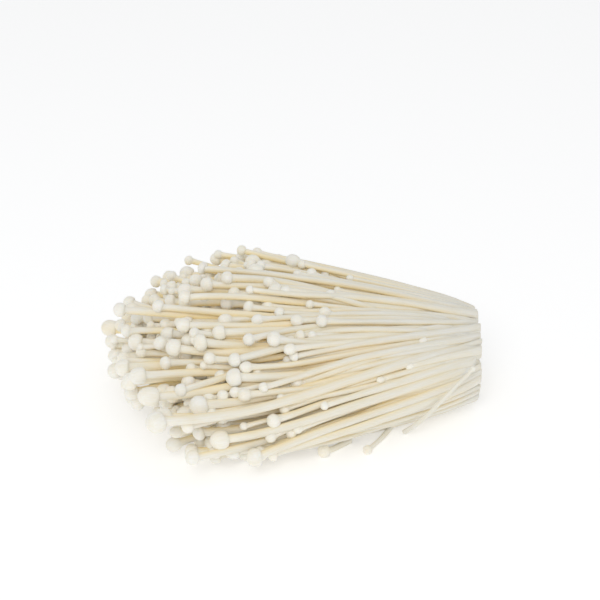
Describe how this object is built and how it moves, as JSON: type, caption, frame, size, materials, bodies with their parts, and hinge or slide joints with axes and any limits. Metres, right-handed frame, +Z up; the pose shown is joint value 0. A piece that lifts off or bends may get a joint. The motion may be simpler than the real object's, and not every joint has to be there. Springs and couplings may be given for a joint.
{
  "type": "enoki mushroom bunch",
  "caption": "Trimmed bunch of enoki mushrooms lying on its side, thin stems fused at the cut foot and fanned out to small round caps.",
  "frame": {"origin": "centre of the bunch's bounding box, on the surface that it lies on", "axes": "+X towards the cut foot, along the bunch's length, -X towards the caps, +Z up"},
  "size_m": [0.1341, 0.1126, 0.0478],
  "materials": {
    "enoki_flesh": "moist, softly translucent cream-white mushroom flesh"
  },
  "bodies": {
    "root": {"tuft_heart": "enoki_flesh", "tuft_front": "enoki_flesh", "tuft_under_front": "enoki_flesh", "tuft_under": "enoki_flesh", "tuft_under_back": "enoki_flesh", "tuft_back": "enoki_flesh", "tuft_top": "enoki_flesh", "tuft_top_front": "enoki_flesh", "loose_stem": "enoki_flesh", "loose_mushroom": "enoki_flesh", "loose_mushroom_short": "enoki_flesh"}
  },
  "joints": []
}
